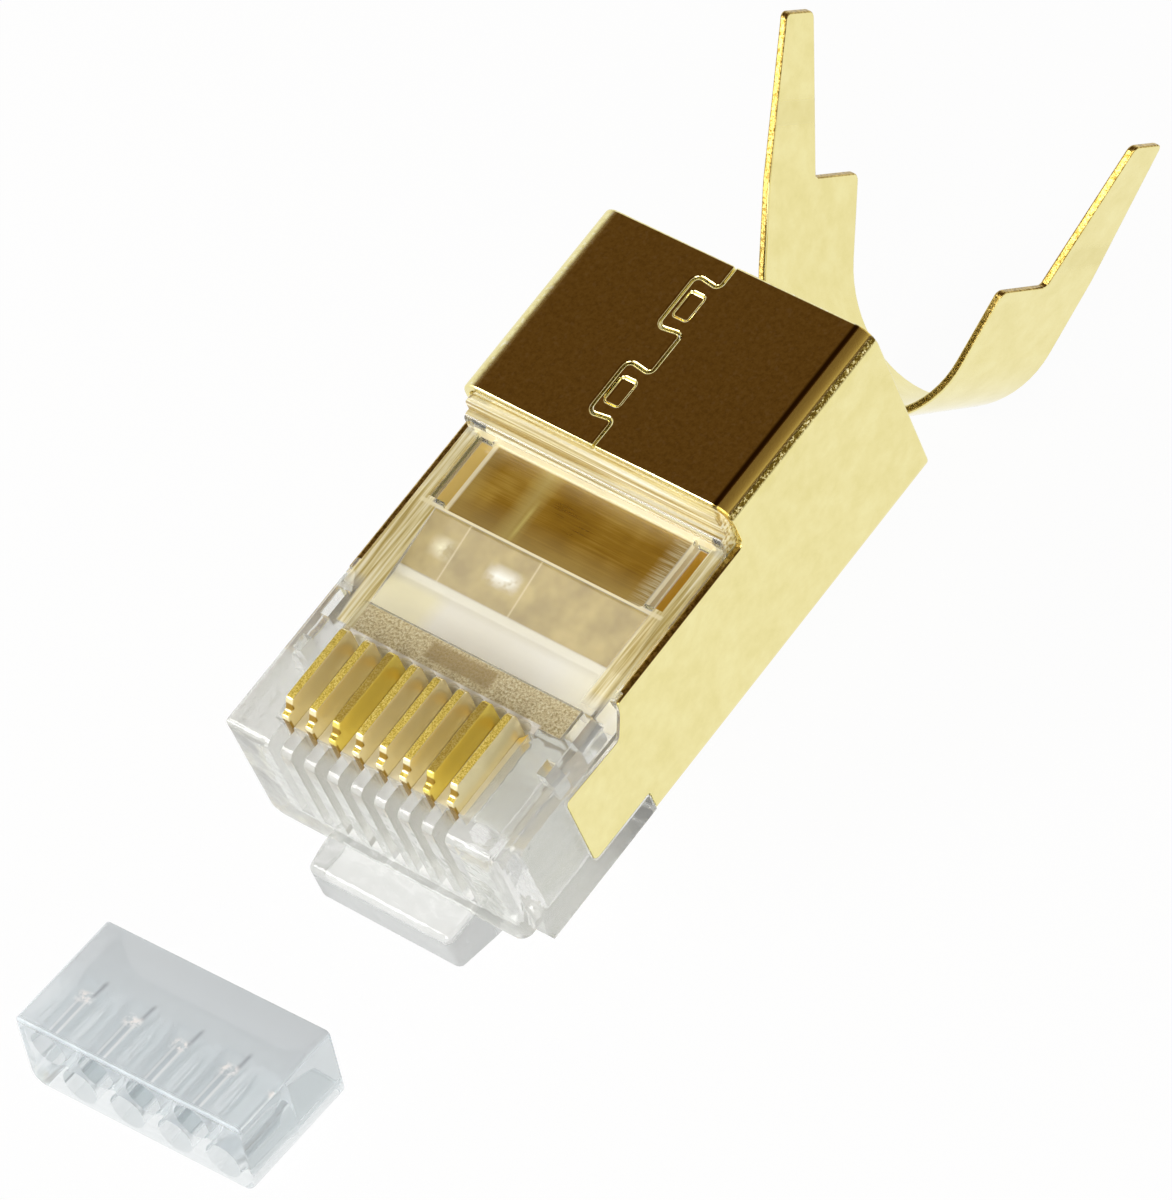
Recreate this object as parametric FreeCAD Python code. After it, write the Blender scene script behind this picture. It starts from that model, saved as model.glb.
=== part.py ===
import FreeCAD, Part
import os
from math import acos, asin, atan2, cos, degrees, radians, sin, tan

# Shielded RJ45 modular plug with its load bar beside it, in millimetres.
#
# Plug frame: X runs across the plug, Y from the nose towards the cable, Z from the
# latch side up to the contact side. Y = 0 is the front of the nose and Z = 0 the
# underside of the shield's bottom plate. At the end everything is tilted and moved
# to the resting frame: the plug lies on its latch and on the saddle of the cable
# clamp, the floor is Z = 0 and the origin is the middle of the footprint.

V = FreeCAD.Vector
ACROSS = V(1, 0, 0)

# --- Clearances ---------------------------------------------------------------
shell_gap = 0.03        # housing to shield, all round
blade_gap = 0.02        # contact blade to its slot, each side
hinge_gap = 0.03        # latch barrel to its seat
floor_gap = 0.03        # underside of the latch lever to the floor
bar_gap = 0.12          # load bar to its chamber in the housing, each side
cutter = 3.0            # how far a cutting tool runs past the face it opens

# --- Usual edge rounds ----------------------------------------------------------
mould_round = 0.3       # moulded edges
mould_fine = 0.2
stamp_round = 0.25      # corners of stamped sheet
stamp_fine = 0.12

# --- Plug body ----------------------------------------------------------------
width = 11.68           # over the side plates and the nose
nose_top = 6.1          # top of the housing between nose and shield roof
nose_round = 0.35       # edges round the nose
nose_corner = 0.45      # upright corners at its front
nose_bottom = 0.65      # underside of the nose in front of the side lips
lip_bottom = 0.1        # underside of the housing behind the nose
lip_start = 0.78        # where the side lips begin behind the nose
bevel_wide = 1.9        # bevel on the lower corners of the nose, across
bevel_high = 1.3        # and upwards
wall = 0.62             # housing walls round the chambers
lug_lap = 0.4           # housing lugs reach this far under the side plates
housing_rear = 21.3     # end of the housing inside the shield
ledge_start = 13.2      # where the housing starts to rise under the roof
ledge_step = 0.62       # height of its first step

# --- Shield, one stamped and folded sheet -----------------------------------------
sheet = 0.3
shield_rear = 21.86
shield_height = 7.78    # over the roof
roof_start = 13.84
roof_bend = 0.75        # outer radius along the roof's edges
floor_bend = 0.45       # outer radius along the bottom edges
side_top = 5.96         # top edge of the side plates in front of the roof
side_start = 6.9        # where that edge begins
tongue_start = 3.5      # front edge of the tongue on each side plate
tongue_top = 4.7
tongue_bottom = 1.15
tongue_dip = 0.12       # its top edge falls a little towards the rear
rise_foot = 0.55        # the edge curves up from the tongue over this length
rise_lean = 0.1
rise_drop = 0.5
plate_start = 6.5       # front edge of the bottom plate
seam_gap = 0.06
tooth_reach = 1.03      # puzzle teeth across the seam
tooth_neck = 1.95
tooth_flare = 0.14      # extra at each side of a tooth's head
tooth_round = 0.24
tooth_first = 15.05     # start of the first tooth's neck
tooth_pitch = 3.82
dimple_long = 1.1       # staked dimple on each tooth
dimple_wide = 0.65
dimple_deep = 0.1
dimple_round = 0.15

# --- Cable clamp, part of the same sheet ------------------------------------------
clamp_drop = 47.4       # degrees the neck is bent down behind the bottom plate
neck_bend = 0.5         # inner radius of that bend
neck_wide = 4.4
neck_start = 20.84      # where the neck leaves the bottom plate
neck_long = 3.0         # from the bend's corner to the saddle
saddle_radius = 4.45    # to the middle of the sheet
arm_flare = 15.0        # degrees each arm leans outwards
strip_wide = 5.3
step_height = 6.2       # above the bottom of the saddle, where an arm narrows
tip_height = 11.75
prong_root = 2.77
prong_tip = 1.6
prong_taper = 0.55      # how far the outer edge of a prong leans inwards
prong_foot_round = 0.15
relief = 0.4            # slots beside the neck in the bottom plate

# --- Contacts ---------------------------------------------------------------------
contact_count = 8
contact_pitch = 1.016
blade = 0.32            # thickness of a contact blade
blade_top = 7.13        # before crimping
blade_front = 0.94
blade_step = 0.47       # the top starts this far behind the lower front corner
blade_step_drop = 0.49
blade_step_slope = 0.08
blade_rear = 4.55
blade_bottom = 5.2
tooth_count = 3         # insulation-piercing points below a blade
tooth_long = 0.8
tooth_wide = 0.55
groove_wide = 0.56      # grooves in the nose for the jack's springs
groove_bottom = 2.1
groove_deep = 0.9
groove_steps = [1.6, 2.4]  # depth below the nose's top where a groove's back wall bends
groove_lean = 0.3       # its lower end leans forward by this
crimp_stroke = 1.15     # a blade is pressed down by this when the plug is fitted
scallop = 0.36          # radius of the round relief behind each slot
scallop_deep = 0.7

# --- Chambers in the housing --------------------------------------------------------
bar_stop = 1.35         # front wall of the load bar's chamber
throat_start = 7.8      # where its roof starts to rise
throat_end = 10.2       # and where the cable chamber begins
throat_high = 5.3
crimp_bar_wide = 8.7    # recess over the cable where the crimp bar is pressed in
crimp_bar_deep = 0.22
pocket_wide = 0.7       # pockets beside the crimp bar
pocket_deep = 0.5
pocket_long = 2.8
pocket_start = 0.2      # behind the front of the crimp bar's recess
core_side = 5.1         # cored pockets by the nose: inner side
core_wide = 0.36
core_starts = [3.45, 4.95]  # a short and a long one on each side
core_longs = [0.6, 1.1]
core_deep = 1.2
cable_round = 0.6       # upper corners of the cable chamber

# --- Latch --------------------------------------------------------------------------
latch_wide = 6.2
latch_front = -1.28     # front face of the latch's root
latch_low = -0.9        # lower front edge of that root
latch_high = 1.0
hinge_start = 1.75      # hinge line behind the nose
lever_thick = 1.0
shoulder_start = 7.0    # along the lever from the hinge
lever_long = 12.9
lever_narrow = 3.25
shoulder_high = 0.12    # the lever's top rises to the shoulders
shoulder_fall = 0.8     # and falls again over this length
lever_thin = 0.1        # how much thinner the free end is
lever_end_round = 0.6

# --- Load bar -----------------------------------------------------------------------
bar_wide = 9.52
bar_long = 4.74
bar_high = 3.26
bar_round = 0.5
wire_hole = 1.42
wire_pitch = 2 * contact_pitch
row_low = 0.96          # height of the lower row of holes
row_high = 2.3
mouth_deep = 2.2        # common mouth behind the holes
mouth_wall = 0.34
mouth_round = 0.6
funnel_deep = 0.6
funnel_wide = 1.74
bar_ahead = 8.62        # from the latch's front edge to the middle of the load bar
bar_aside = -1.38
bar_turn = 2.1          # degrees

half = width / 2
inner_half = half - sheet
core_half = inner_half - shell_gap
core_top = shield_height - sheet - shell_gap
core_bottom = sheet + shell_gap
chamber_half = bar_wide / 2 + bar_gap
chamber_floor = core_bottom + wall
chamber_top = chamber_floor + bar_high + 2 * bar_gap
blade_slot = blade + 2 * blade_gap
tooth_starts = [tooth_first, tooth_first + tooth_pitch]


# --- Drawing helpers ----------------------------------------------------------------
def corner_arc(before, corner, after, radius):
    """Start, middle and end of the arc that rounds one corner of a polygon."""
    back = (before - corner).normalize()
    ahead = (after - corner).normalize()
    half_angle = acos(max(-1.0, min(1.0, back.dot(ahead)))) / 2
    reach = radius / tan(half_angle)
    inwards = (back + ahead).normalize()
    middle = corner + inwards * (radius / sin(half_angle) - radius)
    return corner + back * reach, middle, corner + ahead * reach


def rounded_face(corners, place):
    """Face inside corners given as (a, b, radius); place(a, b) sets each in space."""
    points = [place(a, b) for a, b, _ in corners]
    edges = []
    first = last = None
    for i, (_, _, radius) in enumerate(corners):
        start, middle, end = points[i], None, points[i]
        if radius > 0:
            start, middle, end = corner_arc(points[i - 1], points[i], points[(i + 1) % len(points)], radius)
        if last is None:
            first = start
        elif (start - last).Length > 1e-6:
            edges.append(Part.LineSegment(last, start).toShape())
        if middle is not None:
            edges.append(Part.Arc(start, middle, end).toShape())
        last = end
    edges.append(Part.LineSegment(last, first).toShape())
    return Part.Face(Part.Wire(edges))


def rectangle(a_from, a_to, b_from, b_to, low_round=0.0, high_round=0.0):
    """Corners of a rectangle, with one radius along its low b edge and one along its high."""
    low = [(a_from, b_from, low_round), (a_to, b_from, low_round)]
    return low + [(a_to, b_to, high_round), (a_from, b_to, high_round)]


def side_prism(corners, x_from, x_to):
    """Side-view (y, z, radius) corners carried across from x_from to x_to."""
    return rounded_face(corners, lambda y, z: V(x_from, y, z)).extrude(V(x_to - x_from, 0, 0))


def section_prism(corners, y_from, y_to):
    """Front-view (x, z, radius) corners carried back from y_from to y_to."""
    return rounded_face(corners, lambda x, z: V(x, y_from, z)).extrude(V(0, y_to - y_from, 0))


def plan_prism(corners, z_from, z_to):
    """Top-view (x, y, radius) corners carried up from z_from to z_to."""
    return rounded_face(corners, lambda x, y: V(x, y, z_from)).extrude(V(0, 0, z_to - z_from))


def box(x_from, x_to, y_from, y_to, z_from, z_to):
    return Part.makeBox(x_to - x_from, y_to - y_from, z_to - z_from, V(x_from, y_from, z_from))


def cross_rod(y, z, radius, length):
    """Cylinder across the plug, centred on X = 0."""
    return Part.makeCylinder(radius, length, V(-length / 2, y, z), ACROSS)


def mirrored(shape):
    """The same shape on the other side of the plug."""
    return shape.mirror(V(0, 0, 0), ACROSS)


def both_sides(shape):
    return shape.fuse(mirrored(shape))


# --- Cable clamp geometry -------------------------------------------------------------
def clamp_corner_y():
    """Y where the bottom plate and the neck would meet without a bend."""
    return neck_start + (neck_bend + sheet / 2) * tan(radians(clamp_drop) / 2)


def tilt_to_clamp(shape):
    """From the clamp's own upright frame to its place behind the bottom plate."""
    tilted = shape.copy()
    tilted.rotate(V(0, 0, 0), ACROSS, -clamp_drop)
    tilted.translate(V(0, clamp_corner_y(), sheet / 2))
    return tilted


def clamp_low_point():
    """Lowest point of the saddle: its underside at the rear edge."""
    back = neck_long + strip_wide
    drop = radians(clamp_drop)
    y = clamp_corner_y() + back * cos(drop) - sheet / 2 * sin(drop)
    z = sheet / 2 - back * sin(drop) - sheet / 2 * cos(drop)
    return V(0, y, z)


def rest_slope():
    """Angle in radians between the plug's underside and the floor."""
    low = clamp_low_point()
    return atan2(latch_low - low.z, low.y - latch_front)


def floor_z(y):
    """Height of the floor under the plug, in the plug frame."""
    return latch_low - (y - latch_front) * tan(rest_slope())


def hinge_z():
    """Height of the latch hinge, so that the lever lies along the floor."""
    return floor_z(hinge_start) + (floor_gap + lever_thick / 2) / cos(rest_slope())


# --- Shield -----------------------------------------------------------------------------
def shield_outline(grow=0.0):
    """Side view of the folded sheet; grow enlarges it to cut its bed in the housing."""
    return [
        (tongue_start - grow, tongue_bottom - grow, stamp_round),
        (tongue_start - grow, tongue_top + grow, stamp_round),
        (side_start - rise_foot, tongue_top - tongue_dip + grow, stamp_round),
        (side_start - rise_lean - grow, side_top - rise_drop, stamp_round),
        (side_start - grow, side_top + grow, stamp_fine),
        (roof_start - grow, side_top + grow, stamp_round),
        (roof_start - grow, shield_height + grow, 0.0),
        (shield_rear + grow, shield_height + grow, 0.0),
        (shield_rear + grow, -grow, 0.0),
        (plate_start - grow, -grow, stamp_fine),
        (plate_start - grow, tongue_bottom - grow, stamp_fine),
    ]


def ring_corners(inset):
    """Front view of the folded sheet, inset from its outer face."""
    side = half - inset
    low, high = inset, shield_height - inset
    return rectangle(-side, side, low, high, floor_bend - inset, roof_bend - inset)


def seam_flap():
    """Top view of the right-hand roof flap with its puzzle teeth."""
    corners = [(0, shield_rear + cutter, 0), (half, shield_rear + cutter, 0), (half, roof_start - cutter, 0)]
    corners.append((0, roof_start - cutter, 0))
    for start in tooth_starts:
        end = start + tooth_neck
        corners.append((0, start, tooth_round))
        corners.append((-tooth_reach, start - tooth_flare, tooth_round))
        corners.append((-tooth_reach, end + tooth_flare, tooth_round))
        corners.append((0, end, tooth_round))
    return rounded_face(corners, lambda x, y: V(x, y, shield_height - roof_bend))


def seam_cut():
    """The narrow gap between the two flaps of the roof."""
    flap = seam_flap()
    around = flap.makeOffset2D(seam_gap)
    reach = box(-half, half - roof_bend, roof_start - cutter, shield_rear + 1, 0, shield_height + 1)
    return around.cut(flap).extrude(V(0, 0, roof_bend + cutter)).common(reach)


def tooth_dimple(start):
    """Shallow staked mark in the middle of one puzzle tooth."""
    x = -tooth_reach / 2
    y = start + tooth_neck / 2
    across, along = dimple_wide / 2, dimple_long / 2
    corners = rectangle(x - across, x + across, y - along, y + along, dimple_round, dimple_round)
    return plan_prism(corners, shield_height - dimple_deep, shield_height + cutter)


def neck():
    """Flat strip bent down out of the bottom plate, widening into the saddle's curve."""
    side = neck_wide / 2
    start_face = rounded_face(rectangle(-side, side, 0, sheet), lambda x, z: V(x, neck_start, z))
    bend = start_face.revolve(V(0, neck_start, -neck_bend), ACROSS, -clamp_drop)

    flat_y = (neck_bend + sheet / 2) * tan(radians(clamp_drop) / 2)
    flat = [V(-side, flat_y, -sheet / 2), V(side, flat_y, -sheet / 2)]
    flat += [V(side, flat_y, sheet / 2), V(-side, flat_y, sheet / 2), V(-side, flat_y, -sheet / 2)]
    spread = asin(side / saddle_radius)
    curved = saddle_section(spread, neck_long)
    web = Part.makeLoft([Part.makePolygon(flat), curved], True, True)
    return bend, tilt_to_clamp(web)


def saddle_point(radius, angle, y):
    """Point of the saddle's arc, angle measured from its bottom."""
    return V(radius * sin(angle), y, saddle_radius - radius * cos(angle))


def saddle_section(spread, y):
    """Wire round the sheet's section over an arc of plus and minus spread."""
    outer, inner = saddle_radius + sheet / 2, saddle_radius - sheet / 2
    below = [saddle_point(outer, angle, y) for angle in (-spread, 0, spread)]
    above = [saddle_point(inner, angle, y) for angle in (spread, 0, -spread)]
    right = Part.LineSegment(below[2], above[0])
    left = Part.LineSegment(above[2], below[0])
    return Part.Wire([edge.toShape() for edge in (Part.Arc(*below), right, Part.Arc(*above), left)])


def saddle_trough():
    """U-shaped trough of the strip's width: a round saddle with leaning walls."""
    spread = radians(90 - arm_flare)
    front = neck_long
    saddle = Part.Face(saddle_section(spread, front)).extrude(V(0, strip_wide, 0))
    outer, inner = saddle_radius + sheet / 2, saddle_radius - sheet / 2
    rise = V(sin(radians(arm_flare)), 0, cos(radians(arm_flare))) * (tip_height + saddle_radius)
    foot_out, foot_in = saddle_point(outer, spread, front), saddle_point(inner, spread, front)
    arm = Part.Face(Part.makePolygon([foot_out, foot_out + rise, foot_in + rise, foot_in, foot_out]))
    arm = arm.extrude(V(0, strip_wide, 0))
    return saddle.fuse(both_sides(arm))


def arm_outline(prong_in_front):
    """Side view of one arm: full width up to the step, one narrow prong above it."""
    near, far, low = 0.0, strip_wide, -cutter
    corners = [
        (near, low, 0), (near, step_height, 0), (near + prong_taper, tip_height, stamp_round),
        (near + prong_taper + prong_tip, tip_height, stamp_round),
        (near + prong_root, step_height, prong_foot_round), (far, step_height, stamp_round), (far, low, 0),
    ]
    if prong_in_front:
        return [(neck_long + y, z, r) for y, z, r in corners]
    return [(neck_long + strip_wide - y, z, r) for y, z, r in corners]


def clamp():
    """Saddle with its two offset prongs, which pass each other when crimped."""
    left = side_prism(arm_outline(True), -width, 0)
    right = side_prism(arm_outline(False), 0, width)
    return tilt_to_clamp(saddle_trough().common(left.fuse(right)))


def make_shield():
    tube = section_prism(ring_corners(0), tongue_start, shield_rear)
    tube = tube.cut(section_prism(ring_corners(sheet), tongue_start - cutter, shield_rear + cutter))
    sheet_metal = tube.common(side_prism(shield_outline(), -half, half))
    slot = neck_wide / 2 + relief
    sheet_metal = sheet_metal.cut(box(-slot, slot, neck_start, shield_rear + cutter, -cutter, sheet))
    sheet_metal = sheet_metal.cut(seam_cut())
    for start in tooth_starts:
        sheet_metal = sheet_metal.cut(tooth_dimple(start))
    bend, web = neck()
    return sheet_metal.fuse([bend, web, clamp()]).removeSplitter()


# --- Housing -----------------------------------------------------------------------------
def housing_core():
    """The part of the housing that the shield wraps, with its two-step ledge."""
    middle = (ledge_start + roof_start) / 2
    side = [
        (lip_start, core_bottom, 0), (lip_start, nose_top, 0), (ledge_start, nose_top, 0),
        (ledge_start, nose_top + ledge_step, mould_fine), (middle, nose_top + ledge_step, 0),
        (middle, core_top, mould_fine), (housing_rear, core_top, 0), (housing_rear, core_bottom, 0),
    ]
    inset = sheet + shell_gap
    return side_prism(side, -core_half, core_half).common(
        section_prism(ring_corners(inset), lip_start, housing_rear))


def housing_nose():
    """Full-width front: bevelled nose, side lips and the lugs ahead of the side plates."""
    lug_rear = side_start + lug_lap
    low_rear = plate_start - shell_gap
    side_view = [
        (0, nose_bottom, mould_round), (0, nose_top, nose_round), (lug_rear, nose_top, 0),
        (lug_rear, tongue_bottom, 0), (low_rear, tongue_bottom, 0), (low_rear, lip_bottom, 0),
        (lip_start, lip_bottom, mould_round), (lip_start, nose_bottom, 0),
    ]
    bevelled = [
        (-half, lip_bottom + bevel_high, mould_round), (-half + bevel_wide, lip_bottom, mould_round),
        (half - bevel_wide, lip_bottom, mould_round), (half, lip_bottom + bevel_high, mould_round),
        (half, nose_top, nose_round), (-half, nose_top, nose_round),
    ]
    behind = rectangle(-half, half, lip_bottom, nose_top, mould_fine, nose_round)
    section = section_prism(bevelled, 0, lip_start).fuse(section_prism(behind, lip_start, lug_rear))
    plan = plan_prism(rectangle(-half, half, 0, lug_rear, nose_corner), lip_bottom, nose_top)
    solid = side_prism(side_view, -half, half).common(section).common(plan)
    bed = side_prism(shield_outline(shell_gap), core_half, half + cutter)
    return solid.cut(both_sides(bed))


def latch_root():
    """Block under the nose that carries the latch, hollowed for the lever's barrel."""
    side = latch_wide / 2
    rear = hinge_start
    low = floor_z(rear)
    block = side_prism([
        (latch_front, latch_low, mould_round), (latch_front, latch_high, mould_round),
        (bar_stop, latch_high, 0), (rear, lip_bottom, 0), (rear, low, 0),
    ], -side, side)
    seat = cross_rod(hinge_start, hinge_z(), lever_thick / 2 + hinge_gap, width)
    open_end = box(-half, half, rear - lever_thick / 4, rear + cutter, low - cutter, hinge_z())
    return block.cut(seat).cut(open_end)


def chambers():
    """Load bar chamber, rising throat and cable chamber, open at the rear."""
    cable_top = core_top - wall
    rear = housing_rear + cutter
    side = [
        (bar_stop, chamber_floor, mould_fine), (bar_stop, chamber_top, mould_fine),
        (throat_start, chamber_top, mould_round), (throat_end, throat_high, mould_round),
        (ledge_start, throat_high, mould_round), (roof_start + wall, cable_top, mould_round),
        (rear, cable_top, 0), (rear, chamber_floor, 0),
    ]
    section = rectangle(-chamber_half, chamber_half, chamber_floor, cable_top, mould_round, cable_round)
    return side_prism(side, -chamber_half, chamber_half).common(section_prism(section, 0, rear))


def contact_x(index):
    return (index - (contact_count - 1) / 2) * contact_pitch


def contact_slot(x):
    """Slot of one contact with its scalloped rear end, and the groove in front of it."""
    side = blade_slot / 2
    front = blade_front - blade_gap
    rear = blade_rear + blade_gap
    top = nose_top + cutter
    slot = box(x - side, x + side, front, rear, blade_bottom - crimp_stroke - blade_gap, top)
    scoop = Part.makeCylinder(scallop, top, V(x, rear, nose_top - scallop_deep), V(0, 0, 1))
    back = front + blade_gap
    shallow, steep = groove_steps
    groove = side_prism([
        (-cutter, groove_bottom - groove_lean, 0), (-cutter, top, 0), (back, top, 0),
        (back, nose_top - shallow, mould_round), (groove_deep, nose_top - steep, mould_round),
        (groove_deep - groove_lean, groove_bottom, mould_round),
    ], x - groove_wide / 2, x + groove_wide / 2)
    return slot.fuse([scoop, groove])


def top_details():
    """Crimp bar recess, the pockets beside it and the small cored pockets by the nose."""
    side = crimp_bar_wide / 2
    above = nose_top + cutter
    corners = rectangle(-side, side, throat_end, ledge_start, mould_fine, mould_fine)
    recess = plan_prism(corners, nose_top - crimp_bar_deep, above)
    start = throat_end + pocket_start
    pocket = box(side, side + pocket_wide, start, start + pocket_long, nose_top - pocket_deep, above)
    core_end = core_side + core_wide
    cores = [
        both_sides(box(core_side, core_end, front, front + long, nose_top - core_deep, above))
        for front, long in zip(core_starts, core_longs)
    ]
    return recess.fuse([both_sides(pocket)] + cores)


def make_housing():
    solid = housing_core().fuse([housing_nose(), latch_root()])
    solid = solid.cut(chambers())
    solid = solid.cut([contact_slot(contact_x(i)) for i in range(contact_count)])
    return solid.cut(top_details()).removeSplitter()


# --- Moving pieces -------------------------------------------------------------------------
def make_latch_lever():
    """Lever drawn flat from its hinge line, then tilted down to lie along the floor."""
    thick = lever_thick / 2
    side_view = side_prism([
        (0, -thick, 0), (0, thick, 0), (shoulder_start, thick + shoulder_high, mould_fine),
        (shoulder_start + shoulder_fall, thick - lever_thin, mould_round),
        (lever_long, thick - lever_thin, mould_round), (lever_long, -thick, mould_round),
    ], -width, width)
    wide, narrow = latch_wide / 2, lever_narrow / 2
    top_view = plan_prism([
        (-wide, -thick, 0), (wide, -thick, 0), (wide, shoulder_start, mould_round),
        (narrow, shoulder_start, mould_round), (narrow, lever_long, lever_end_round),
        (-narrow, lever_long, lever_end_round), (-narrow, shoulder_start, mould_round),
        (-wide, shoulder_start, mould_round),
    ], -width, width)
    lever = side_view.common(top_view).fuse(cross_rod(0, 0, thick, latch_wide)).removeSplitter()
    lever.rotate(V(0, 0, 0), ACROSS, -degrees(rest_slope()))
    lever.translate(V(0, hinge_start, hinge_z()))
    return lever


def make_contact(x):
    """Stamped blade: stepped front, flat top and a row of piercing points below."""
    top_front = blade_front + blade_step
    step = blade_top - blade_step_drop
    corners = [
        (blade_front, blade_bottom, stamp_fine), (blade_front, step, stamp_round),
        (top_front, step + blade_step_slope, stamp_fine), (top_front, blade_top, stamp_round),
        (blade_rear, blade_top, stamp_round), (blade_rear, blade_bottom, 0),
    ]
    room = (blade_rear - bar_stop) / tooth_count
    for i in range(tooth_count):
        middle = blade_rear - room * (i + 0.5)
        corners.append((middle + tooth_wide / 2, blade_bottom, 0))
        corners.append((middle, blade_bottom - tooth_long, 0))
        corners.append((middle - tooth_wide / 2, blade_bottom, 0))
    return side_prism(corners, x - blade / 2, x + blade / 2)


# --- Load bar --------------------------------------------------------------------------------
def wire_passage(x, z):
    """One wire hole with a funnel where it opens into the common mouth."""
    start = bar_long - mouth_deep
    hole = Part.makeCylinder(wire_hole / 2, bar_long + cutter, V(x, -1, z), V(0, 1, 0))
    narrow_end = V(x, start - funnel_deep, z)
    funnel = Part.makeCone(wire_hole / 2, funnel_wide / 2, funnel_deep, narrow_end, V(0, 1, 0))
    return hole.fuse(funnel)


def make_load_bar():
    """Block with two staggered rows of wire holes, drawn with its front at Y = 0."""
    side = bar_wide / 2
    bar = section_prism(rectangle(-side, side, 0, bar_high, bar_round, bar_round), 0, bar_long)
    low, high = mouth_wall, bar_high - mouth_wall
    mouth = rectangle(mouth_wall - side, side - mouth_wall, low, high, mouth_round, mouth_round)
    bar = bar.cut(section_prism(mouth, bar_long - mouth_deep, bar_long + cutter))
    half_row = contact_count // 2
    for i in range(half_row):
        x = (i - (half_row - 1) / 2) * wire_pitch
        bar = bar.cut(wire_passage(x - contact_pitch / 2, row_high))
        bar = bar.cut(wire_passage(x + contact_pitch / 2, row_low))
    return bar.removeSplitter()


def lay_ahead(bar):
    """Put the loose load bar on the floor in front of the plug's latch."""
    laid = bar.copy()
    laid.translate(V(0, -bar_long / 2, 0))
    laid.rotate(V(0, 0, 0), V(0, 0, 1), bar_turn)
    laid.translate(V(bar_aside, -bar_ahead, 0))
    return laid


# --- Resting frame -----------------------------------------------------------------------------
def to_floor(shape):
    """Tilt a shape of the plug about the latch's lower front edge, which comes to the origin."""
    tilted = shape.copy()
    tilted.translate(V(0, -latch_front, -latch_low))
    tilted.rotate(V(0, 0, 0), ACROSS, degrees(rest_slope()))
    return tilted


def resting_parts():
    """All pieces lying on the floor, with the origin in the middle of their footprint."""
    plug = {"housing": make_housing(), "shield": make_shield(), "latch_lever": make_latch_lever()}
    for i in range(contact_count):
        plug["contact_%d" % (i + 1)] = make_contact(contact_x(i))
    parts = {name: to_floor(shape) for name, shape in plug.items()}
    parts["load_bar"] = lay_ahead(make_load_bar())
    bounds = Part.makeCompound(list(parts.values())).optimalBoundingBox(False, False)
    origin = V(bounds.Center.x, bounds.Center.y, bounds.ZMin)
    for shape in parts.values():
        shape.translate(origin * -1)
    return parts, origin


def main():
    os.makedirs("parts", exist_ok=True)
    parts, _ = resting_parts()
    for name, shape in parts.items():
        shape.exportStep("parts/" + name + ".step")
        report = (name, len(shape.Solids), shape.isValid(), shape.Volume)
        print("%-12s solids %d valid %s volume %.2f" % report)


main()
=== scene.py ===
"""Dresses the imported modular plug.

A clear housing with its lever, a folded gold-plated shield, eight gold contacts and a loose clear load bar.
Lengths are millimetres, in the plug's own frame unless a name says otherwise: X across, Y from the nose to
the cable and Z from the latch's side to the contacts' side.
"""
from math import cos, pi, radians, sin

import bmesh
import bpy
import numpy as np
from mathutils import Euler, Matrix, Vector


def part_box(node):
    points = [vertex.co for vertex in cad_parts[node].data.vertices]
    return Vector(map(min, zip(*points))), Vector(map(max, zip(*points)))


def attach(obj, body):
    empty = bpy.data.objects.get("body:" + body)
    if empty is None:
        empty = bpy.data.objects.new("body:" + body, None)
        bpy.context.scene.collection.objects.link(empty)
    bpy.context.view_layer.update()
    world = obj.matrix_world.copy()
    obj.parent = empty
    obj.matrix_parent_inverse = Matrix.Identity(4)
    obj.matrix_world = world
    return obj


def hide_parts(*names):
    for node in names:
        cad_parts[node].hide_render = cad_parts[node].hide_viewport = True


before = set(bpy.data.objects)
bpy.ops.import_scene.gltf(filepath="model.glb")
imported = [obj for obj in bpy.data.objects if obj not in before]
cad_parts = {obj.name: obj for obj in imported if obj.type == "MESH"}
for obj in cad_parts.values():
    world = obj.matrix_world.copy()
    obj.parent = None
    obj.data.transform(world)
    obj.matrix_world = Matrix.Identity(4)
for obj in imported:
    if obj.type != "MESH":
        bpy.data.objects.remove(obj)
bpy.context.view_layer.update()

MM = 0.001
PER_METRE = (1000.0, 1000.0, 1000.0)
REST_SLOPE = radians(10.4757)     # the plug lies nose up on its latch by this angle
PLUG_ORIGIN = (0.0, 1.28, 0.9)    # from the latch's lower front edge to the plug's own origin
FOOTPRINT = (0.0, 11.9257, 0.0)   # from that edge to the middle of the footprint, in the row's frame
CONTACT_PITCH = 1.016             # between one contact and the next
BLADE_TOP = 7.13                  # top of a contact before it is crimped
BLADE_TIP = 4.4                   # its piercing points
BLADE_POINTS = (1.883, 2.95, 4.017)
CLAMP_DROP = radians(47.4)        # the clamp leans down from the plug's bottom by this angle
CLAMP_CORNER = 21.1               # where its lean starts
LATCH_HALF = 3.1                  # half the width of the latch's root
CHEEK_FRONT = 0.78                # front of the wide rear part's upright corners
BAR_TURN = radians(2.1)           # the loose load bar is turned by this on the floor
BAR_LONG = 4.74                   # from its front face to its back face
BAR_PITCH = 2 * CONTACT_PITCH     # between one pair of its wire holes and the next
MOUTH_FRONT = 2.54                # from its front face to the front of its mouth
BAR_HIGHLIGHT_LINES = 0.16                  # puts each upper hole's pair of painted highlight lines in the middle of a pitch


def plug_to_row(points):
    """Plug-frame millimetres to row-frame metres: shift, turn by the rest slope about X, shift again."""
    p = np.atleast_2d(np.asarray(points, float)) + PLUG_ORIGIN
    c, s = cos(REST_SLOPE), sin(REST_SLOPE)
    y, z = p[:, 1] * c - p[:, 2] * s, p[:, 1] * s + p[:, 2] * c
    return (np.stack([p[:, 0], y, z], 1) - FOOTPRINT) * MM


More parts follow.
